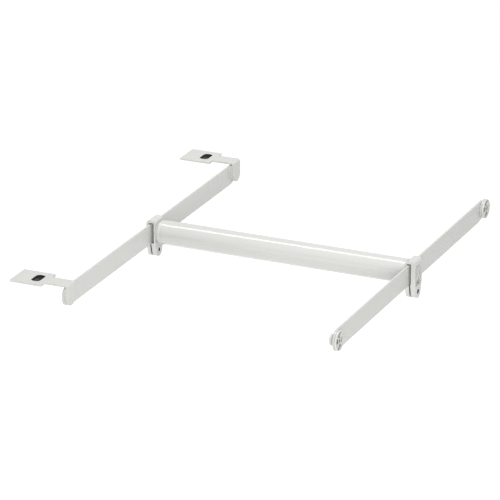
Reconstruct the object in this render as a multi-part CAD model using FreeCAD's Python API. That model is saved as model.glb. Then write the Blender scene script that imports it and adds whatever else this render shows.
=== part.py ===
"""Adjustable clothes rail: a telescopic tube between two flat side bars.

The left bar hangs from two sheet tabs, the right bar ends in two screw discs, and a clamp clip at
each end of the tube slides along its bar.  All sizes are millimetres.  +X runs along the tube from the
tabs to the discs, +Y along the bars from front to back and +Z up.  The origin lies midway between the
two tab pads, on the plane of their undersides.
"""
import FreeCAD
import Part
import math
import os

# Side bars: flat strips on edge, a little lower and fully rounded at their ends
left_bar_length = 510.0
right_bar_length = 502.5
right_bar_shift = 2.9
bar_height = 26.5
bar_thickness = 2.5
bar_end_rise = 2.2
bar_end_taper = 22.0

# Hangers: tabs of sheet steel with a neck that bends down over the left bar
sheet = 2.2
tab_length = 43.2
tab_width = 40.0
tab_corner = 1.2
neck_width = 20.5
neck_corner = 1.5
neck_over_bar = 1.6
tab_to_bar = 25.0
bend_inside = 1.2
hanger_from_end = 12.5
leg_standoff = 2.6
leg_short = 2.2
rim_below_top = 0.0
rim_inset = 0.5

# Rubber pads pressed into a slot of each tab
pad_slot_width = 12.2
pad_slot_length = 20.8
pad_corner_share = 0.38
pad_from_tab_edge = 14.0
pad_below_tab = 1.5
pad_lip = 1.6
pad_clearance = 0.05

# Telescopic tube; the outer tube's diameter follows from the inner tube and the bush between them
tube_above_bar_middle = 1.1
inner_tube_diameter = 26.0
inner_tube_wall = 1.0
inner_tube_shown = 3.5
inner_tube_end_gap = 10.0
outer_tube_wall = 1.0
outer_tube_length = 331.9

# Plastic bush in the mouth of the outer tube, and guide on the hidden end of the inner tube
bush_wall = 1.3
bush_lip_length = 4.6
bush_lip_step = 0.6
bush_sleeve_length = 45.0
guide_flange = 6.0
guide_plug_length = 14.0
slide_clearance = 0.3
press_clearance = 0.05
plug_fin = 3.0

# Clips: a saddle over the bar with two lugs below it
clip_length = 23.0
left_clip_tube_leg = 2.4
left_clip_outer_leg = 3.2
left_clip_open_gap = 3.9
left_lug_gap_shift = 0.6
right_clip_tube_leg = 2.4
right_clip_outer_leg = 5.6
right_clip_open_gap = 2.6
right_lug_gap_shift = 2.0
clip_tight_gap = 0.3
clip_top_gap = 2.0
clip_bridge = 3.35
clip_shoulder = 4.4
clip_bottom_gap = 0.4
jaw_above_bar_bottom = 1.2
lug_gap = 2.0
lug_radius = 8.5
screw_below_bar = 10.1
spigot_length = 25.0
panel_margin = 2.4
panel_floor = 1.6
rib_width = 1.8
relief_wall = 1.2

# Clamp screw with a hexagon socket, and the hexagon nut pressed into the other lug
head_diameter = 10.6
head_height = 3.0
head_clearance = 0.3
seat_gap = 0.05
socket_flats = 5.0
socket_depth = 2.6
shank_diameter = 6.0
shank_clearance = 0.3
nut_flats = 10.0
nut_length = 3.0
thread_clearance = 0.05
tip_recess = 1.2

# Screw discs and their bosses on the right bar
disc_diameter = 25.2
disc_thickness = 5.0
disc_edge = 0.6
disc_rim = 1.6
disc_recess = 2.4
disc_from_bar_end = 7.0
disc_rib_width = 1.7
boss_diameter = 14.0
boss_length = 4.1
sleeve_diameter = 8.0
sleeve_short = 0.4
screw_bore_diameter = 4.6

# Places worked out from the sizes above
pad_slot_corner = pad_corner_share * pad_slot_width
tab_bottom = pad_below_tab
tab_top = tab_bottom + sheet
bar_top = tab_bottom - neck_over_bar
bar_middle = bar_top - bar_height / 2
bar_bottom = bar_top - bar_height
tube_z = bar_middle + tube_above_bar_middle
bar_end_radius = (bar_height - bar_end_rise) / 2
disc_z = bar_top - bar_end_radius
hanger_y = left_bar_length / 2 - hanger_from_end
disc_reach = right_bar_length / 2 - disc_from_bar_end
left_bar_x = pad_from_tab_edge + tab_to_bar
left_bar_face = left_bar_x + bar_thickness / 2
leg_face = left_bar_face + leg_standoff
left_clip_face = left_bar_face + left_clip_open_gap + left_clip_tube_leg
bush_start = left_clip_face + inner_tube_shown
outer_tube_start = bush_start + bush_lip_length
outer_tube_end = outer_tube_start + outer_tube_length
guide_end = outer_tube_end - spigot_length - inner_tube_end_gap
inner_tube_end = guide_end - guide_flange
right_bar_x = outer_tube_end + right_clip_tube_leg + clip_tight_gap + bar_thickness / 2
right_bar_inner_face = right_bar_x - bar_thickness / 2
right_bar_outer_face = right_bar_x + bar_thickness / 2
slot_top = bar_top + clip_top_gap
slot_floor = bar_bottom - clip_bottom_gap
jaw_top = bar_bottom + jaw_above_bar_bottom
clip_top = slot_top + clip_bridge
screw_z = bar_bottom - screw_below_bar
inner_tube_bore = inner_tube_diameter - 2 * inner_tube_wall
bush_bore = inner_tube_diameter + 2 * slide_clearance
bush_sleeve_diameter = bush_bore + 2 * bush_wall
outer_tube_bore = bush_sleeve_diameter + 2 * press_clearance
outer_tube_diameter = outer_tube_bore + 2 * outer_tube_wall

FRONT = -1
REAR = 1
LEFT = 1
RIGHT = -1
SAME = 1e-6


def at(x, y, z):
    return FreeCAD.Vector(x, y, z)


def block(x, y, z):
    """A box between two values on each axis."""
    low = at(min(x), min(y), min(z))
    return Part.makeBox(max(x) - min(x), max(y) - min(y), max(z) - min(z), low)


def rod(diameter, x_from, x_to, y=0.0, z=tube_z):
    """A round bar along X."""
    start = at(min(x_from, x_to), y, z)
    return Part.makeCylinder(diameter / 2, abs(x_to - x_from), start, at(1, 0, 0))


def ring(outer, inner, x_from, x_to, y=0.0, z=tube_z):
    """A round sleeve along X."""
    return rod(outer, x_from, x_to, y, z).cut(rod(inner, x_from, x_to, y, z))


def plate(points_and_arcs, thickness):
    """A solid from a closed outline of edges, thickened along a vector."""
    wire = Part.Wire(Part.__sortEdges__([piece.toShape() for piece in points_and_arcs]))
    return Part.Face(wire).extrude(thickness)


def line(a, b):
    return Part.LineSegment(a, b)


def arc(a, middle, b):
    return Part.Arc(a, middle, b)


def hexagon(flats, x_from, x_to, z):
    """A hexagonal prism along X, with a corner pointing up."""
    corner = flats / math.sqrt(3)
    corners = []
    for side in range(7):
        turn = math.radians(60 * side)
        corners.append(at(min(x_from, x_to), corner * math.sin(turn), z + corner * math.cos(turn)))
    face = Part.Face(Part.makePolygon(corners))
    return face.extrude(at(abs(x_to - x_from), 0, 0))


def edges_where(shape, test):
    """The edges whose middle passes a test."""
    return [edge for edge in shape.Edges if test(edge.CenterOfMass, edge)]


def rounded_slab(x, y, z, corner):
    """A box between two values on each axis, with its upright edges rounded."""
    slab = block(x, y, z)
    uprights = edges_where(slab, lambda middle, edge: edge.BoundBox.ZLength > max(z) - min(z) - SAME)
    return slab.makeFillet(corner, uprights)


def side_bar(x, y, length):
    """A flat strip on edge with round ends, its middle plane at x and its middle length at y."""
    low = x - bar_thickness / 2
    front = y - length / 2
    rear = y + length / 2
    front_turn = front + bar_end_radius
    rear_turn = rear - bar_end_radius
    front_foot = front + bar_end_taper
    rear_foot = rear - bar_end_taper
    middle = bar_top - bar_end_radius
    risen = bar_bottom + bar_end_rise
    outline = [
        line(at(low, front_turn, bar_top), at(low, rear_turn, bar_top)),
        arc(at(low, rear_turn, bar_top), at(low, rear, middle), at(low, rear_turn, risen)),
        line(at(low, rear_turn, risen), at(low, rear_foot, bar_bottom)),
        line(at(low, rear_foot, bar_bottom), at(low, front_foot, bar_bottom)),
        line(at(low, front_foot, bar_bottom), at(low, front_turn, risen)),
        arc(at(low, front_turn, risen), at(low, front, middle), at(low, front_turn, bar_top)),
    ]
    return plate(outline, at(bar_thickness, 0, 0))


def tongue(x_from, x_to, y, half, top, bottom):
    """An upright plate across X that is half round at its lower end."""
    centre = bottom + half
    outline = [
        line(at(x_from, y - half, top), at(x_from, y + half, top)),
        line(at(x_from, y + half, top), at(x_from, y + half, centre)),
        arc(at(x_from, y + half, centre), at(x_from, y, bottom), at(x_from, y - half, centre)),
        line(at(x_from, y - half, centre), at(x_from, y - half, top)),
    ]
    return plate(outline, at(x_to - x_from, 0, 0))


def hanger_leg(y):
    """The leg beside the bar, with a rim turned in from its edge and welded to the bar."""
    half = neck_width / 2
    bottom = bar_bottom + leg_short
    leg = tongue(leg_face, leg_face + sheet, y, half, tab_bottom - bend_inside, bottom)
    rim_top = bar_top - rim_below_top
    rim_half = half - rim_inset
    rim_bottom = bottom + rim_inset
    rim = tongue(left_bar_face, leg_face, y, rim_half, rim_top, rim_bottom)
    hollow = tongue(left_bar_face, leg_face, y, rim_half - sheet, rim_top, rim_bottom + sheet)
    return leg.fuse(rim.cut(hollow))


def hanger_neck(y):
    """The strip from the tab over the bar's top, with its bend down into the leg."""
    start = y - neck_width / 2
    tab_edge = left_bar_x - tab_to_bar
    inner = bend_inside
    outer = bend_inside + sheet
    centre_x = leg_face - inner
    centre_z = tab_bottom - inner
    slant = math.sqrt(0.5)
    outline = [
        line(at(tab_edge, start, tab_top), at(centre_x, start, tab_top)),
        arc(
            at(centre_x, start, tab_top),
            at(centre_x + outer * slant, start, centre_z + outer * slant),
            at(centre_x + outer, start, centre_z),
        ),
        line(at(centre_x + outer, start, centre_z), at(centre_x + inner, start, centre_z)),
        arc(
            at(centre_x + inner, start, centre_z),
            at(centre_x + inner * slant, start, centre_z + inner * slant),
            at(centre_x, start, tab_bottom),
        ),
        line(at(centre_x, start, tab_bottom), at(tab_edge, start, tab_bottom)),
        line(at(tab_edge, start, tab_bottom), at(tab_edge, start, tab_top)),
    ]
    return plate(outline, at(0, neck_width, 0))


def pad_slab(y, grow, z):
    """An upright slab with the outline of a tab's slot, grown on every side."""
    half_width = pad_slot_width / 2 + grow
    half_length = pad_slot_length / 2 + grow
    x = (-half_width, half_width)
    return rounded_slab(x, (y - half_length, y + half_length), z, pad_slot_corner + grow)


def hanger(y):
    """A tab, its neck and its leg, bent from one sheet."""
    tab_edge = left_bar_x - tab_to_bar
    x = (tab_edge - tab_length, tab_edge)
    across = (y - tab_width / 2, y + tab_width / 2)
    tab = rounded_slab(x, across, (tab_bottom, tab_top), tab_corner)
    body = tab.fuse([hanger_neck(y), hanger_leg(y)]).removeSplitter()

    def at_neck_root(middle, edge):
        upright = edge.BoundBox.ZLength > sheet - SAME and edge.BoundBox.YLength < SAME
        beside_neck = abs(abs(middle.y - y) - neck_width / 2) < SAME
        return upright and beside_neck and abs(middle.x - tab_edge) < SAME

    body = body.makeFillet(neck_corner, edges_where(body, at_neck_root))
    return body.cut(pad_slab(y, 0.0, (tab_bottom, tab_top)))


def tab_pad(y):
    """A rubber pad: a slug in the tab's slot and a lip below the tab."""
    slug = pad_slab(y, -pad_clearance, (0.0, tab_top))
    lip = pad_slab(y, pad_lip, (0.0, pad_below_tab))
    return slug.fuse(lip).removeSplitter()


def cross_plug(bore, x_from, x_to):
    """A plug of two crossing fins that presses into a round bore."""
    radius = bore / 2 - press_clearance
    half = plug_fin / 2
    reach = math.sqrt(radius ** 2 - half ** 2)
    upright = block((x_from, x_to), (-half, half), (tube_z - reach, tube_z + reach))
    level = block((x_from, x_to), (-reach, reach), (tube_z - half, tube_z + half))
    return upright.fuse(level).removeSplitter()


def lug_tangent():
    """Where the slanted side of a clip meets its round lug, seen along X, for the rear side."""
    corner_y = clip_length / 2
    away = math.hypot(corner_y, jaw_top - screw_z)
    direction = math.atan2(jaw_top - screw_z, corner_y)
    swing = math.acos(lug_radius / away)
    turn = direction - swing
    return lug_radius * math.cos(turn), screw_z + lug_radius * math.sin(turn)


def clip_blank(x_low, x_high):
    """The clip's outline seen along X: a straight saddle that narrows to a round lug."""
    half = clip_length / 2
    side, height = lug_tangent()
    bottom = screw_z - lug_radius
    outline = [
        line(at(x_low, -half, clip_top), at(x_low, half, clip_top)),
        line(at(x_low, half, clip_top), at(x_low, half, jaw_top)),
        line(at(x_low, half, jaw_top), at(x_low, side, height)),
        arc(at(x_low, side, height), at(x_low, 0, bottom), at(x_low, -side, height)),
        line(at(x_low, -side, height), at(x_low, -half, jaw_top)),
        line(at(x_low, -half, jaw_top), at(x_low, -half, clip_top)),
    ]
    return plate(outline, at(x_high - x_low, 0, 0))


def clip_limits(bar_x, side):
    """The clip's two outer faces, its slot's two faces and the middle of its lug gap."""
    slot_low = bar_x - bar_thickness / 2 - clip_tight_gap
    bar_high = bar_x + bar_thickness / 2
    if side == LEFT:
        slot_high = bar_high + left_clip_open_gap
        x_low = slot_low - left_clip_outer_leg
        x_high = slot_high + left_clip_tube_leg
        return x_low, x_high, slot_low, slot_high, bar_x + left_lug_gap_shift
    slot_high = bar_high + right_clip_open_gap
    x_low = slot_low - right_clip_tube_leg
    x_high = slot_high + right_clip_outer_leg
    return x_low, x_high, slot_low, slot_high, bar_x + right_lug_gap_shift


def clip_faces(bar_x, side):
    """The clip's face towards the tube and its outer face."""
    x_low, x_high, _, _, _ = clip_limits(bar_x, side)
    if side == LEFT:
        return x_high, x_low
    return x_low, x_high


def clip_core(x_from, x_to, margin, high):
    """A block within the clip's outline, from a height down to just above the lug's bores."""
    half = clip_length / 2 - margin
    low = screw_z + nut_flats / math.sqrt(3) + panel_margin
    side, height = lug_tangent()
    taper = (clip_length / 2 - side) / (jaw_top - height)
    low_half = half - taper * (jaw_top - low)
    corners = [
        at(x_from, -half, high),
        at(x_from, half, high),
        at(x_from, half, jaw_top),
        at(x_from, low_half, low),
        at(x_from, -low_half, low),
        at(x_from, -half, jaw_top),
        at(x_from, -half, high),
    ]
    return Part.Face(Part.makePolygon(corners)).extrude(at(x_to - x_from, 0, 0))


def clip_panel(outer_face, floor):
    """The recess in a clip's outer leg, less its two crossing ribs."""
    high = bar_top - panel_margin / 2
    recess = clip_core(outer_face, floor, panel_margin, high)
    middle = (jaw_top + high) / 2
    half = clip_length / 2 - panel_margin
    reach = math.hypot(half, high - middle)
    lean = math.degrees(math.atan2(high - middle, half))
    for turn in (lean, -lean):
        rib = block((outer_face, floor), (-reach, reach), (middle - rib_width / 2, middle + rib_width / 2))
        rib.rotate(at(outer_face, 0, middle), at(1, 0, 0), turn)
        recess = recess.cut(rib)
    return recess


def clip(bar_x, side):
    """A one-piece clip: saddle over the bar, two clamp lugs below and a finned spigot for the tube."""
    x_low, x_high, slot_low, slot_high, gap_middle = clip_limits(bar_x, side)
    tube_face, outer_face = clip_faces(bar_x, side)
    body = clip_blank(x_low, x_high)

    def along_top(middle, edge):
        return abs(middle.z - clip_top) < SAME and edge.BoundBox.YLength > clip_length - SAME

    body = body.makeFillet(clip_shoulder, edges_where(body, along_top))
    tube_bore = inner_tube_bore if side == LEFT else outer_tube_bore
    body = body.fuse(cross_plug(tube_bore, tube_face, tube_face + side * spigot_length)).removeSplitter()
    across = (-clip_length, clip_length)
    jaw_face = gap_middle + lug_gap / 2
    slot = block((slot_low, slot_high), across, (jaw_top, slot_top))
    slot_foot = block((slot_low, jaw_face), across, (slot_floor, slot_top))
    lug_floor = screw_z - 2 * lug_radius
    gap = block((jaw_face - lug_gap, jaw_face), across, (lug_floor, slot_top))
    relief = clip_core(jaw_face - lug_gap, slot_high, relief_wall, slot_top)
    hole = rod(shank_diameter + 2 * shank_clearance, x_low, x_high, 0, screw_z)
    head_seat_floor = tube_face - side * head_height
    head_seat = rod(head_diameter + 2 * head_clearance, tube_face, head_seat_floor, 0, screw_z)
    nut_seat_floor = outer_face + side * nut_length
    nut_seat = hexagon(nut_flats + 2 * press_clearance, outer_face, nut_seat_floor, screw_z)
    outer_leg_inside = slot_low if side == LEFT else slot_high
    panel = clip_panel(outer_face, outer_leg_inside - side * panel_floor)
    return body.cut([slot, slot_foot, gap, relief, hole, head_seat, nut_seat, panel])


def clamp_screw(bar_x, side):
    """The clamp screw: its flat head lies in the lug on the tube's side."""
    tube_face, outer_face = clip_faces(bar_x, side)
    seat = tube_face - side * (head_height - seat_gap)
    tip = outer_face + side * tip_recess
    head = rod(head_diameter, tube_face, seat, 0, screw_z)
    shank = rod(shank_diameter, seat, tip, 0, screw_z)
    socket = hexagon(socket_flats, tube_face, tube_face - side * socket_depth, screw_z)
    return head.fuse(shank).removeSplitter().cut(socket)


def clamp_nut(bar_x, side):
    """The hexagon nut in the lug on the outer side."""
    outer_face = clip_faces(bar_x, side)[1]
    nut_seat_floor = outer_face + side * nut_length
    thread = rod(shank_diameter + 2 * thread_clearance, outer_face, nut_seat_floor, 0, screw_z)
    return hexagon(nut_flats, outer_face, nut_seat_floor, screw_z).cut(thread)


def inner_tube():
    return ring(inner_tube_diameter, inner_tube_bore, left_clip_face, inner_tube_end)


def inner_tube_guide():
    """A round flange that runs in the outer tube, on a finned plug in the inner tube's hidden end."""
    flange = rod(outer_tube_bore - 2 * slide_clearance, inner_tube_end, guide_end)
    plug = cross_plug(inner_tube_bore, inner_tube_end - guide_plug_length, inner_tube_end)
    return flange.fuse(plug).removeSplitter()


def outer_tube():
    return ring(outer_tube_diameter, outer_tube_bore, outer_tube_start, outer_tube_end)


def outer_tube_bush():
    """A bush with a lip in front of the outer tube's mouth and a sleeve inside it."""
    lip = ring(outer_tube_diameter - 2 * bush_lip_step, bush_bore, bush_start, outer_tube_start)
    sleeve_end = outer_tube_start + bush_sleeve_length
    sleeve = ring(bush_sleeve_diameter, bush_bore, outer_tube_start, sleeve_end)
    return lip.fuse(sleeve).removeSplitter()


def right_side_bar():
    """The right bar has a hole at each end for a boss's sleeve."""
    bar = side_bar(right_bar_x, right_bar_shift, right_bar_length)
    hole = sleeve_diameter + 2 * press_clearance
    for end in (FRONT, REAR):
        y = right_bar_shift + end * disc_reach
        bar = bar.cut(rod(hole, right_bar_inner_face, right_bar_outer_face, y, disc_z))
    return bar


def wall_disc(y):
    """A moulded disc on the bar's outer face, cored out round the boss's sleeve with four crossing ribs."""
    back = right_bar_outer_face
    front = back + disc_thickness
    body = rod(disc_diameter, back, front, y, disc_z)

    def front_rim(middle, edge):
        return edge.BoundBox.XLength < SAME and abs(middle.x - front) < SAME

    body = body.makeChamfer(disc_edge, edges_where(body, front_rim))
    inside = disc_diameter - 2 * disc_rim
    hole = sleeve_diameter + 2 * press_clearance
    floor = front - disc_recess
    core = ring(inside, hole, floor, front, y, disc_z)
    for turn in (45, 135):
        rib = block((floor, front), (y - inside, y + inside), (-disc_rib_width / 2, disc_rib_width / 2))
        rib.translate(at(0, 0, disc_z))
        rib.rotate(at(front, y, disc_z), at(1, 0, 0), turn)
        core = core.cut(rib)
    return body.cut(core).cut(rod(hole, back, front, y, disc_z))


def disc_boss(y):
    """A round boss on the bar's inner face, with a sleeve through the bar into the disc's hole."""
    inner_end = right_bar_inner_face - boss_length
    sleeve_end = right_bar_outer_face + disc_thickness - sleeve_short
    head = rod(boss_diameter, inner_end, right_bar_inner_face, y, disc_z)
    sleeve = rod(sleeve_diameter, right_bar_inner_face, sleeve_end, y, disc_z)
    body = head.fuse(sleeve).removeSplitter()
    return body.cut(rod(screw_bore_diameter, inner_end, sleeve_end, y, disc_z))


def all_pieces():
    """Every piece under its name."""
    pieces = {
        "left_side_bar": side_bar(left_bar_x, 0.0, left_bar_length),
        "right_side_bar": right_side_bar(),
        "inner_tube": inner_tube(),
        "inner_tube_guide": inner_tube_guide(),
        "outer_tube": outer_tube(),
        "outer_tube_bush": outer_tube_bush(),
    }
    for name, end in (("front", FRONT), ("rear", REAR)):
        pieces[name + "_hanger"] = hanger(end * hanger_y)
        pieces[name + "_tab_pad"] = tab_pad(end * hanger_y)
        pieces[name + "_wall_disc"] = wall_disc(right_bar_shift + end * disc_reach)
        pieces[name + "_disc_boss"] = disc_boss(right_bar_shift + end * disc_reach)
    for name, bar_x, side in (("left", left_bar_x, LEFT), ("right", right_bar_x, RIGHT)):
        pieces[name + "_clip"] = clip(bar_x, side)
        pieces[name + "_clamp_screw"] = clamp_screw(bar_x, side)
        pieces[name + "_clamp_nut"] = clamp_nut(bar_x, side)
    return pieces


def main():
    os.makedirs("parts", exist_ok=True)
    for name, shape in all_pieces().items():
        shape.exportStep(os.path.join("parts", name + ".step"))
        solids = len(shape.Solids)
        print(f"{name}: {solids} solid, valid {shape.isValid()}, {shape.Volume / 1000:.2f} cm3")


main()
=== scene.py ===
"""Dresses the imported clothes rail: coated metal, moulded clips and discs, rubber pads in the tabs.

Lengths are metres in the model's own frame: +X along the tube, +Y along the side bars, +Z up.
Azimuths and elevations are degrees, and azimuth 0 lies to the front.
"""

import math

import bmesh
import bpy
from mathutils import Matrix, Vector


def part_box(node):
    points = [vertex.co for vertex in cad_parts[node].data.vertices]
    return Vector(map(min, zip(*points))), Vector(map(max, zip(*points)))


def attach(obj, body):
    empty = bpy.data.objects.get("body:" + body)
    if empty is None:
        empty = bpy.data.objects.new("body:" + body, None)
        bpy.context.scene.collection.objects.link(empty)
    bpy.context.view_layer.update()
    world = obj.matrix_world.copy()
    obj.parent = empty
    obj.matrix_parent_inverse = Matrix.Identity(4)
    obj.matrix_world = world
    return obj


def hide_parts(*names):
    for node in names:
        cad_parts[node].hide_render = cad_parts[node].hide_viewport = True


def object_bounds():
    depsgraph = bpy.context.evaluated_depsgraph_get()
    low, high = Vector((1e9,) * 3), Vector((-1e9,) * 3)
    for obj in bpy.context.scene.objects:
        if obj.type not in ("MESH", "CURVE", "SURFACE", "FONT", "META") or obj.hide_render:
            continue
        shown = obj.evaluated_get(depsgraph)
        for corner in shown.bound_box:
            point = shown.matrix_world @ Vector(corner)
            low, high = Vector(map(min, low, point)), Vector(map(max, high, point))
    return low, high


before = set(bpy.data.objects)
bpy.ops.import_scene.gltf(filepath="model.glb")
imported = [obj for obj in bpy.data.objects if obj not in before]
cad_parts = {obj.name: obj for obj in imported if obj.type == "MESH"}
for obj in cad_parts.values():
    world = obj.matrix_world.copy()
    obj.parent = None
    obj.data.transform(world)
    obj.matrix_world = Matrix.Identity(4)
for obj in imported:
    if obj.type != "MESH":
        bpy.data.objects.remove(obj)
cad_low, cad_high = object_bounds()

# The photograph's camera
camera_azimuth = 24.148
camera_elevation = 20.975
camera_distance = 4.3826
camera_lens_mm = 251.29
camera_sensor_mm = 36.0
camera_target = Vector((0.17277, 0.0, -0.01772))

# Studio: a pale floor well below the hanging rail, even white light, one long softbox overhead,
# a key lamp from the right and a low, wide fill from the front
white = (1.0, 1.0, 1.0, 1.0)
floor_below_rail = 0.55
floor_reach = 40.0
floor_colour = (0.86, 0.86, 0.86, 1.0)
floor_lift = 0.58
sky_light = 0.45
sky_shown = 1.0
softbox_height = 1.2
softbox_back = 0.15
softbox_length = 2.2
softbox_width = 0.33
softbox_watts = 12.0
fill_azimuth = 0.0
fill_elevation = -2.0
fill_distance = 3.0
fill_width = 4.0
fill_height = 0.9
fill_watts = 13.0
key_azimuth = 32.0
key_elevation = 16.0
key_distance = 2.5
key_size = 1.1
key_watts = 26.5

# Noise: its depth of detail and the range that most of it lies in
noise_detail = 3.0
noise_low = 0.3
noise_high = 0.7

# Powder coat: clouds in its colour, patches in its gloss, orange peel and a thinner film on edges
coat_colour = (0.640, 0.645, 0.615)
satin_roughness = 0.34
gloss_roughness = 0.22
roughness_vary = 0.15
cloud_size = 0.035
cloud_share = 0.018
coat_patch_size = cloud_size / 4
peel_size = 0.0009
peel_height = 0.000012
film_edge = 0.0005
film_shade = 0.95
edge_cosine = 0.86
flat_cosine = 0.99

# Tubes: drawn lines along the tube and a clear gloss on top
draw_line_size = 0.0006
draw_line_stretch = 0.01
draw_line_height = 0.000003
gloss_under_coat = 0.1
clear_weight = 1.0
clear_roughness = 0.1
clear_index = 1.5

# Moulded plastic: a fine sparked grain, a parting line and a painted shade line round a disc, where a
# groove would be
plastic_colour = (0.650, 0.655, 0.630)
plastic_roughness = (0.24, 0.34)
plastic_cloud_size = cloud_size / 2
fine_patch_size = cloud_size / 8
spark_size = 0.0009
spark_height = 0.000006
parting_width = 0.00018
parting_height = 0.00006
painted_groove_share = 0.49
painted_groove_core = 0.00025
painted_groove_width = 0.0005
painted_groove_shade = 0.55
soft_edge = 0.0005

# Painted shade in the plastic's gaps: how far it reaches, and how open a place is that has none
clip_shade = (0.004, 0.5)
disc_shade = (0.005, 0.5)
boss_shade = (0.008, 0.9)
shade_samples = 12
shut_share = 0.1
shade_floor = 0.05
slot_shade_floor = 0.6
shade_step = 0.0005

# Screws and nuts: the coat outside, and near-black painted shade in the socket and the threaded hole
socket_shade_colour = (0.012, 0.012, 0.013)
screw_roughness = (0.26, 0.4)
coat_gloss = 0.5
socket_shade_gloss = 0.1
socket_share = 0.295

# Rubber: a fine grain, and a painted sheen, a paler patch on the front half of each pad
rubber_colour = (0.006, 0.006, 0.007)
rubber_sheen_colour = (0.050, 0.051, 0.053)
rubber_roughness = (0.55, 0.8)
rubber_gloss = 0.12
grain_size = 0.0007
grain_height = 0.00006
rubber_patch_size = grain_size * 3
sheen_half_width = 0.0036
sheen_half_length = 0.0046
sheen_forward = 0.0036
sheen_core = 0.65
sheen_patches = (0.7, 1.0)

# Rounding of sharp edges
bar_edge = 0.0002
sheet_edge = 0.0003
tube_edge = 0.00025
boss_edge = 0.0006
bush_edge = 0.00015
disc_edge = 0.0003
screw_edge = 0.0003
edge_segments = 3
sharp_angle = math.radians(32.0)
weld_distance = 0.000002

# Rubber pads: a lip below the sheet, a slug through the slot and a dish in the top
pad_lip_height = 0.0015
pad_lip_width = 0.0016
pad_corner_share = 0.38
pad_corner_steps = 10
pad_slot_clearance = 0.00005
pad_round = 0.0004
pad_round_middle = 0.3 * pad_round
pad_shoulder_round = 0.5 * pad_round
pad_rim = 0.0013
pad_dish = 0.0008
pad_dish_middle = (0.5 * pad_dish, 0.8 * pad_dish)


def near(colour, share=0.0):
    """A colour with full alpha, made lighter or darker by a share."""
    return tuple(channel * (1.0 + share) for channel in colour) + (1.0,)


def middle_of(name):
    """The middle of a CAD node's box."""
    low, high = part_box(name)
    return (low + high) / 2


def new_material(name):
    """A material with its node tree and its shader."""
    material = bpy.data.materials.new(name)
    material.use_nodes = True
    tree = material.node_tree
    return material, tree, tree.nodes["Principled BSDF"]


def node(tree, kind, values=None):
    """A node with some inputs set."""
    made = tree.nodes.new(kind)
    for socket, value in (values or {}).items():
        made.inputs[socket].default_value = value
    return made


def place(tree):
    """The point on the piece, in the model's frame at rest."""
    return node(tree, "ShaderNodeTexCoord").outputs["Object"]


def place_axes(tree):
    """X, Y and Z of the point on the piece."""
    split = tree.nodes.new("ShaderNodeSeparateXYZ")
    tree.links.new(place(tree), split.inputs["Vector"])
    return split.outputs["X"], split.outputs["Y"], split.outputs["Z"]


def math_node(tree, operation, first, second=None):
    """One operation on numbers or sockets."""
    made = tree.nodes.new("ShaderNodeMath")
    made.operation = operation
    for socket, value in zip(made.inputs, (first, second)):
        if isinstance(value, (int, float)):
            socket.default_value = value
        elif value is not None:
            tree.links.new(value, socket)
    return made.outputs["Value"]


def vector_node(tree, operation):
    """A node for one operation on vectors."""
    made = tree.nodes.new("ShaderNodeVectorMath")
    made.operation = operation
    return made


def noise(tree, size, point=None):
    """Lumps of a given size."""
    made = node(tree, "ShaderNodeTexNoise", {"Scale": 1.0 / size, "Detail": noise_detail})
    tree.links.new(point or place(tree), made.inputs["Vector"])
    return made.outputs["Fac"]


def spread(tree, value, low, high, from_low=noise_low, from_high=noise_high):
    """Maps a value from one range, by default that of noise, to another."""
    limits = {"From Min": from_low, "From Max": from_high, "To Min": low, "To Max": high}
    made = node(tree, "ShaderNodeMapRange", limits)
    tree.links.new(value, made.inputs["Value"])
    return made.outputs["Result"]


def two_colours(tree, factor, first, second):
    """A blend from one colour to another."""
    made = tree.nodes.new("ShaderNodeValToRGB")
    made.color_ramp.elements[0].color = first
    made.color_ramp.elements[1].color = second
    tree.links.new(factor, made.inputs["Fac"])
    return made.outputs["Color"]


def clouded(tree, colour, size):
    """A colour with faint lighter and darker clouds of a given size."""
    return two_colours(tree, noise(tree, size), near(colour, -cloud_share), near(colour, cloud_share))


def darken(tree, colour, factor):
    """A colour times a factor."""
    made = vector_node(tree, "SCALE")
    tree.links.new(colour, made.inputs[0])
    tree.links.new(factor, made.inputs["Scale"])
    return made.outputs["Vector"]


def vary_roughness(tree, shader, size, limits):
    """Makes the gloss wander between two limits, in patches of a given size."""
    tree.links.new(spread(tree, noise(tree, size), *limits), shader.inputs["Roughness"])


def bump(tree, shader, height, distance, below=None):
    """Adds relief to a shader, over any relief below it."""
    made = node(tree, "ShaderNodeBump", {"Distance": distance})
    tree.links.new(height, made.inputs["Height"])
    if below is not None:
        tree.links.new(below, made.inputs["Normal"])
    tree.links.new(made.outputs["Normal"], shader.inputs["Normal"])
    return made.outputs["Normal"]


def edge_mask(tree, radius):
    """1 on sharp edges and 0 on flat surfaces."""
    rounded = node(tree, "ShaderNodeBevel", {"Radius": radius})
    surface = tree.nodes.new("ShaderNodeNewGeometry")
    match = vector_node(tree, "DOT_PRODUCT")
    tree.links.new(rounded.outputs["Normal"], match.inputs[0])
    tree.links.new(surface.outputs["Normal"], match.inputs[1])
    return spread(tree, match.outputs["Value"], 1.0, 0.0, edge_cosine, flat_cosine)


def painted_gap_shade(tree, shade, dark_below=None):
    """Painted shade: 1 in the open and less in narrow gaps; above a height, where one is given, gaps
    stay paler.
    """
    reach, open_share = shade
    made = node(tree, "ShaderNodeAmbientOcclusion", {"Distance": reach})
    made.samples = shade_samples
    closed = spread(tree, made.outputs["AO"], shade_floor, 1.0, shut_share, open_share)
    # Painted shade: below the given height the gaps go darker
    if dark_below is not None:
        height = place_axes(tree)[2]
        limits = (shade_floor, slot_shade_floor, dark_below - shade_step, dark_below)
        tree.links.new(spread(tree, height, *limits), closed.node.inputs["To Min"])
    return closed


def distance_along(tree, x):
    """How far a point lies from a plane across the X axis."""
    return math_node(tree, "ABSOLUTE", math_node(tree, "SUBTRACT", place_axes(tree)[0], x))


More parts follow.
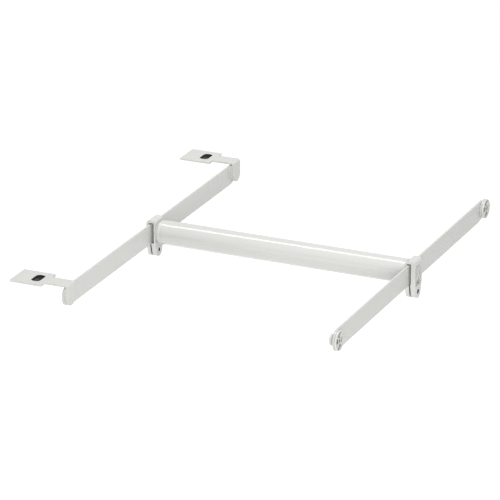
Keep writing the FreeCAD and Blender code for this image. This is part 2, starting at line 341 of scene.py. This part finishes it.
def coat(name, roughness):
    """White powder coat: the material, its shader and the orange peel that other relief lies on."""
    material, tree, shader = new_material(name)
    film = spread(tree, edge_mask(tree, film_edge), 1.0, film_shade, 0.0, 1.0)
    tint = darken(tree, clouded(tree, coat_colour, cloud_size), film)
    tree.links.new(tint, shader.inputs["Base Color"])
    limits = (roughness * (1.0 - roughness_vary), roughness * (1.0 + roughness_vary))
    vary_roughness(tree, shader, coat_patch_size, limits)
    peel = bump(tree, shader, noise(tree, peel_size), peel_height)
    return material, shader, peel


def satin_coat():
    """The coat on bars and hangers."""
    return coat("satin_coat", satin_roughness)[0]


def gloss_coat():
    """The coat on the tubes: drawn lines show through it, and a clear gloss lies on top."""
    material, shader, peel = coat("gloss_coat", gloss_roughness)
    tree = material.node_tree
    along = node(tree, "ShaderNodeMapping", {"Scale": (draw_line_stretch, 1.0, 1.0)})
    tree.links.new(place(tree), along.inputs["Vector"])
    lines = noise(tree, draw_line_size, along.outputs["Vector"])
    bump(tree, shader, lines, draw_line_height, peel)
    shader.inputs["Specular IOR Level"].default_value = gloss_under_coat
    shader.inputs["Coat Weight"].default_value = clear_weight
    shader.inputs["Coat Roughness"].default_value = clear_roughness
    shader.inputs["Coat IOR"].default_value = clear_index
    return material


def moulded_plastic(name, shade, parting_x, painted_groove_x=None, dark_below=None):
    """Gloss white plastic with soft edges, painted shade in its gaps, a parting line and, on a disc, a
    painted shade line where a groove would be.
    """
    material, tree, shader = new_material(name)
    tint = clouded(tree, plastic_colour, plastic_cloud_size)
    # Painted shade: the colour darkens in narrow gaps
    tint = darken(tree, tint, painted_gap_shade(tree, shade, dark_below))
    # Painted shade: a dark line round the disc where a groove would be
    if painted_groove_x is not None:
        away = distance_along(tree, painted_groove_x)
        tint = darken(tree, tint, spread(tree, away, painted_groove_shade, 1.0, painted_groove_core, painted_groove_width))
    tree.links.new(tint, shader.inputs["Base Color"])
    vary_roughness(tree, shader, fine_patch_size, plastic_roughness)
    soft = node(tree, "ShaderNodeBevel", {"Radius": soft_edge})
    flash = spread(tree, distance_along(tree, parting_x), 1.0, 0.0, 0.0, parting_width)
    line = bump(tree, shader, flash, parting_height, soft.outputs["Normal"])
    bump(tree, shader, noise(tree, spark_size), spark_height, line)
    return material


def screw_coat(name, axis_z, hole_radius, face_x, inward):
    """Coated screws and nuts: white outside, with near-black painted shade in the socket and the
    threaded hole.
    """
    material, tree, shader = new_material(name)
    x, y, z = place_axes(tree)
    height = math_node(tree, "SUBTRACT", z, axis_z)
    squares = [math_node(tree, "POWER", side, 2.0) for side in (y, height)]
    radius = math_node(tree, "SQRT", math_node(tree, "ADD", *squares))
    # Painted shade: near black in the socket and the threaded hole
    inside = math_node(tree, "LESS_THAN", radius, hole_radius)
    depth = math_node(tree, "MULTIPLY", math_node(tree, "SUBTRACT", x, face_x), inward)
    sunk = math_node(tree, "GREATER_THAN", depth, screw_edge)
    bare_and_socket_shade = math_node(tree, "MULTIPLY", inside, sunk)
    tint = two_colours(tree, bare_and_socket_shade, near(coat_colour), near(socket_shade_colour))
    tree.links.new(tint, shader.inputs["Base Color"])
    gloss = spread(tree, bare_and_socket_shade, coat_gloss, socket_shade_gloss, 0.0, 1.0)
    tree.links.new(gloss, shader.inputs["Specular IOR Level"])
    vary_roughness(tree, shader, fine_patch_size, screw_roughness)
    bump(tree, shader, noise(tree, peel_size), peel_height)
    return material


def painted_sheen_patch(tree, middle):
    """1 in the oval of painted sheen on a pad's front half, fading to 0 at its edge."""
    centre = Vector((middle.x, middle.y - sheen_forward))
    aimed = node(tree, "ShaderNodeMapping", {
        "Location": (-centre.x / sheen_half_width, -centre.y / sheen_half_length, 0.0),
        "Scale": (1.0 / sheen_half_width, 1.0 / sheen_half_length, 0.0),
    })
    tree.links.new(place(tree), aimed.inputs["Vector"])
    away = vector_node(tree, "LENGTH")
    tree.links.new(aimed.outputs["Vector"], away.inputs[0])
    return spread(tree, away.outputs["Value"], 1.0, 0.0, sheen_core, 1.0)


def rubber(name, middle):
    """Black rubber with a fine grain and a painted sheen, grey on its front half."""
    material, tree, shader = new_material(name)
    patches = spread(tree, noise(tree, fine_patch_size), *sheen_patches)
    # Painted sheen: a paler oval on the front half of the pad
    sheen = math_node(tree, "MULTIPLY", painted_sheen_patch(tree, middle), patches)
    tint = two_colours(tree, sheen, near(rubber_colour), near(rubber_sheen_colour))
    tree.links.new(tint, shader.inputs["Base Color"])
    vary_roughness(tree, shader, rubber_patch_size, rubber_roughness)
    shader.inputs["Specular IOR Level"].default_value = rubber_gloss
    bump(tree, shader, noise(tree, grain_size), grain_height)
    return material


def geometry_chain(name, kinds):
    """A group of geometry nodes that hand one mesh along, and the nodes between its ends."""
    group = bpy.data.node_groups.new(name, "GeometryNodeTree")
    for way in ("INPUT", "OUTPUT"):
        group.interface.new_socket("Geometry", in_out=way, socket_type="NodeSocketGeometry")
    chain = [group.nodes.new(kind) for kind in ("NodeGroupInput", *kinds, "NodeGroupOutput")]
    for giver, taker in zip(chain, chain[1:]):
        group.links.new(giver.outputs["Geometry"], taker.inputs["Geometry"])
    return group, chain[1:-1]


def joined_corners():
    """Node group: drops the imported corner normals and joins the corners of neighbouring faces."""
    kinds = ("GeometryNodeRemoveAttribute", "GeometryNodeMergeByDistance")
    group, (bare_and_socket_shade, join) = geometry_chain("joined_corners", kinds)
    bare_and_socket_shade.inputs["Name"].default_value = "custom_normal"
    join.inputs["Distance"].default_value = weld_distance
    return group


def smooth_by_angle():
    """Node group: shades curved faces smooth and keeps sharp edges sharp."""
    kinds = ("GeometryNodeSetShadeSmooth", "GeometryNodeSetShadeSmooth")
    group, (faces, edges) = geometry_chain("smooth_by_angle", kinds)
    faces.domain = "FACE"
    edges.domain = "EDGE"
    angle = group.nodes.new("GeometryNodeInputMeshEdgeAngle")
    gentle = group.nodes.new("FunctionNodeCompare")
    gentle.data_type = "FLOAT"
    gentle.operation = "LESS_THAN"
    gentle.inputs["B"].default_value = sharp_angle
    group.links.new(angle.outputs["Unsigned Angle"], gentle.inputs["A"])
    group.links.new(gentle.outputs["Result"], edges.inputs["Shade Smooth"])
    return group


def dress(name, material, edge, groups):
    """Gives a CAD node its finish, rounds its edges if a width is given, and shades it smooth."""
    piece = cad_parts[name]
    piece.data.materials.clear()
    piece.data.materials.append(material)
    joined, smooth = groups
    piece.modifiers.new("joined_corners", "NODES").node_group = joined
    if edge is not None:
        bevel = piece.modifiers.new("edge_round", "BEVEL")
        bevel.width = edge
        bevel.segments = edge_segments
        bevel.limit_method = "ANGLE"
        bevel.angle_limit = sharp_angle
    piece.modifiers.new("smooth_by_angle", "NODES").node_group = smooth


def dress_metal(groups):
    """Bars and hangers get the satin coat, tubes the gloss one."""
    satin = satin_coat()
    gloss = gloss_coat()
    for name, finish, edge in (
        ("left_side_bar", satin, bar_edge),
        ("right_side_bar", satin, bar_edge),
        ("front_hanger", satin, sheet_edge),
        ("rear_hanger", satin, sheet_edge),
        ("inner_tube", gloss, tube_edge),
        ("outer_tube", gloss, tube_edge),
    ):
        dress(name, finish, edge, groups)


def dress_clips(groups):
    """Clips are plastic with painted shade in their gaps, darkest in the split below the bar."""
    for side in ("left", "right"):
        name = side + "_clip"
        bar_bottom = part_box(side + "_side_bar")[0].z
        middle_x = middle_of(name).x
        plastic = moulded_plastic(name + "_plastic", clip_shade, middle_x, dark_below=bar_bottom)
        dress(name, plastic, None, groups)


def dress_fittings(groups):
    """Bosses, bush and guide are plastic with painted shade in their gaps."""
    for name, edge in (
        ("front_disc_boss", boss_edge),
        ("rear_disc_boss", boss_edge),
        ("outer_tube_bush", bush_edge),
        ("inner_tube_guide", None),
    ):
        plastic = moulded_plastic(name + "_plastic", boss_shade, middle_of(name).x)
        dress(name, plastic, edge, groups)


def dress_discs(groups):
    """Discs are plastic with painted shade in their gaps and a painted shade line round the rim, where
    a groove would be.
    """
    for name in ("front_wall_disc", "rear_wall_disc"):
        low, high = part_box(name)
        painted_groove_x = low.x + painted_groove_share * (high.x - low.x)
        plastic = moulded_plastic(name + "_plastic", disc_shade, middle_of(name).x, painted_groove_x)
        dress(name, plastic, disc_edge, groups)


def dress_screws(groups):
    """Clamp screws and nuts: the left head and the right nut look to +X, the others to -X."""
    for side in ("left", "right"):
        screw_low, screw_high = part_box(side + "_clamp_screw")
        nut_low, nut_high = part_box(side + "_clamp_nut")
        axis_z = (screw_low.z + screw_high.z) / 2
        socket = (screw_high.z - screw_low.z) * socket_share
        inward = -1.0 if side == "left" else 1.0
        head_x = screw_high.x if side == "left" else screw_low.x
        nut_x = nut_low.x if side == "left" else nut_high.x
        finish = screw_coat(side + "_screw_coat", axis_z, socket, head_x, inward)
        dress(side + "_clamp_screw", finish, screw_edge, groups)
        finish = screw_coat(side + "_nut_coat", axis_z, socket, nut_x, -inward)
        dress(side + "_clamp_nut", finish, screw_edge, groups)


def pad_outline(half_width, half_length, inset):
    """Points round a rectangle with rounded corners, pulled in by an inset."""
    corner = pad_corner_share * 2 * (half_width - pad_lip_width) + pad_lip_width
    radius = corner - inset
    points = []
    for quarter, (side, end) in enumerate(((1, 1), (-1, 1), (-1, -1), (1, -1))):
        centre = Vector((side * (half_width - corner), end * (half_length - corner)))
        for step in range(pad_corner_steps + 1):
            turn = math.pi / 2 * (quarter + step / pad_corner_steps)
            points.append(centre + Vector((radius * math.cos(turn), radius * math.sin(turn))))
    return points


def pad_profile(bottom, top):
    """Inset and height of each ring of a pad, from below the lip up and into the dish."""
    slug = pad_lip_width + pad_slot_clearance
    shoulder = bottom + pad_lip_height
    rim = slug + pad_rim
    dish_in, dish_down = pad_dish_middle
    return (
        (pad_round, bottom),
        (pad_round_middle, bottom + pad_round_middle),
        (0.0, bottom + pad_round),
        (0.0, shoulder - pad_shoulder_round),
        (pad_shoulder_round, shoulder),
        (slug, shoulder),
        (slug, top - pad_round),
        (slug + pad_round_middle, top - pad_round_middle),
        (slug + pad_round, top),
        (rim, top),
        (rim + dish_in, top - dish_down),
        (rim + pad_dish, top - pad_dish),
    )


def pad_mesh(name, low, high):
    """A closed skin through the rings of a pad."""
    middle = (low + high) / 2
    half = (high - low) / 2
    mesh = bmesh.new()
    loops = []
    for inset, z in pad_profile(low.z, high.z):
        outline = pad_outline(half.x, half.y, inset)
        loops.append([mesh.verts.new((middle.x + point.x, middle.y + point.y, z)) for point in outline])
    for lower, upper in zip(loops, loops[1:]):
        for k in range(len(lower)):
            following = (k + 1) % len(lower)
            mesh.faces.new((lower[k], lower[following], upper[following], upper[k]))
    mesh.faces.new(reversed(loops[0]))
    mesh.faces.new(loops[-1])
    data = bpy.data.meshes.new(name)
    mesh.to_mesh(data)
    mesh.free()
    return data


def rubber_pad(node_name, material, smooth):
    """A moulded pad in the tab's slot, in place of its plain solid."""
    low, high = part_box(node_name)
    data = pad_mesh(node_name + "_rubber", low, high)
    data.materials.append(material)
    piece = bpy.data.objects.new(node_name + "_rubber", data)
    bpy.context.scene.collection.objects.link(piece)
    piece.modifiers.new("smooth_by_angle", "NODES").node_group = smooth
    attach(piece, "left_side")
    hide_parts(node_name)


def dress_all():
    """Gives every piece its finish."""
    joined = joined_corners()
    smooth = smooth_by_angle()
    for dress_some in (dress_metal, dress_clips, dress_fittings, dress_discs, dress_screws):
        dress_some((joined, smooth))
    for name in ("front_tab_pad", "rear_tab_pad"):
        rubber_pad(name, rubber(name + "_grain", middle_of(name)), smooth)


def towards(azimuth_deg, elevation_deg):
    """The direction from the rail to an azimuth and elevation."""
    azimuth = math.radians(azimuth_deg)
    elevation = math.radians(elevation_deg)
    level = math.cos(elevation)
    return Vector((math.sin(azimuth) * level, -math.cos(azimuth) * level, math.sin(elevation)))


def shown_rays(tree):
    """1 for rays that show the background, directly or in a gloss, and 0 for rays that light."""
    path = tree.nodes.new("ShaderNodeLightPath")
    direct = math_node(tree, "MAXIMUM", path.outputs["Is Camera Ray"], path.outputs["Is Glossy Ray"])
    return math_node(tree, "MAXIMUM", direct, path.outputs["Is Transmission Ray"])


def show_or_light(tree, end, lit, shown):
    """Ends a tree in one shader for rays that light and another for rays that show."""
    choice = tree.nodes.new("ShaderNodeMixShader")
    tree.links.new(shown_rays(tree), choice.inputs["Fac"])
    tree.links.new(lit, choice.inputs[1])
    tree.links.new(shown, choice.inputs[2])
    tree.links.new(choice.outputs["Shader"], tree.nodes.new(end).inputs["Surface"])


def add_sky():
    """An even white surround that shows as plain white."""
    world = bpy.data.worlds.new("studio")
    bpy.context.scene.world = world
    world.use_nodes = True
    tree = world.node_tree
    tree.nodes.clear()
    light = node(tree, "ShaderNodeBackground", {"Color": white, "Strength": sky_light})
    shown = node(tree, "ShaderNodeBackground", {"Color": white, "Strength": sky_shown})
    shaders = (light.outputs["Background"], shown.outputs["Background"])
    show_or_light(tree, "ShaderNodeOutputWorld", *shaders)


def add_floor():
    """A plain pale floor that keeps the rail's shadow and shows as near white."""
    centre = (0.0, 0.0, cad_low.z - floor_below_rail)
    bpy.ops.mesh.primitive_plane_add(size=2 * floor_reach, location=centre)
    floor = bpy.context.object
    floor.name = "floor"
    material = bpy.data.materials.new("pale_floor")
    material.use_nodes = True
    tree = material.node_tree
    tree.nodes.clear()
    paint = node(tree, "ShaderNodeBsdfDiffuse", {"Color": floor_colour})
    lift = node(tree, "ShaderNodeEmission", {"Strength": floor_lift})
    lifted = tree.nodes.new("ShaderNodeAddShader")
    tree.links.new(paint.outputs["BSDF"], lifted.inputs[0])
    tree.links.new(lift.outputs["Emission"], lifted.inputs[1])
    shaders = (paint.outputs["BSDF"], lifted.outputs["Shader"])
    show_or_light(tree, "ShaderNodeOutputMaterial", *shaders)
    floor.data.materials.append(material)


def stand(name, data, offset):
    """A lamp or camera that stands off from the camera's target and faces it."""
    holder = bpy.data.objects.new(name, data)
    holder.location = camera_target + offset
    holder.rotation_mode = "QUATERNION"
    holder.rotation_quaternion = (-offset).to_track_quat("-Z", "Y")
    bpy.context.scene.collection.objects.link(holder)
    return holder


def add_lamp(name, offset, width, height, watts):
    """A soft lamp that the camera doesn't see."""
    lamp = bpy.data.lights.new(name, "AREA")
    lamp.shape = "RECTANGLE"
    lamp.size = width
    lamp.size_y = height
    lamp.energy = watts
    stand(name, lamp, offset).visible_camera = False


def add_lamps():
    """A long lamp over the tube, a key lamp from the right and a low fill from the front."""
    overhead = Vector((0.0, softbox_back, softbox_height))
    key = towards(key_azimuth, key_elevation) * key_distance
    fill = towards(fill_azimuth, fill_elevation) * fill_distance
    add_lamp("softbox", overhead, softbox_length, softbox_width, softbox_watts)
    add_lamp("key", key, key_size, key_size, key_watts)
    add_lamp("fill", fill, fill_width, fill_height, fill_watts)


def add_camera():
    """The camera stands where the photograph was taken from."""
    lens = bpy.data.cameras.new("photo_camera")
    lens.lens = camera_lens_mm
    lens.sensor_width = camera_sensor_mm
    offset = towards(camera_azimuth, camera_elevation) * camera_distance
    bpy.context.scene.camera = stand("photo_camera", lens, offset)


bpy.context.scene.view_settings.view_transform = "Standard"
dress_all()
add_sky()
add_floor()
add_lamps()
add_camera()
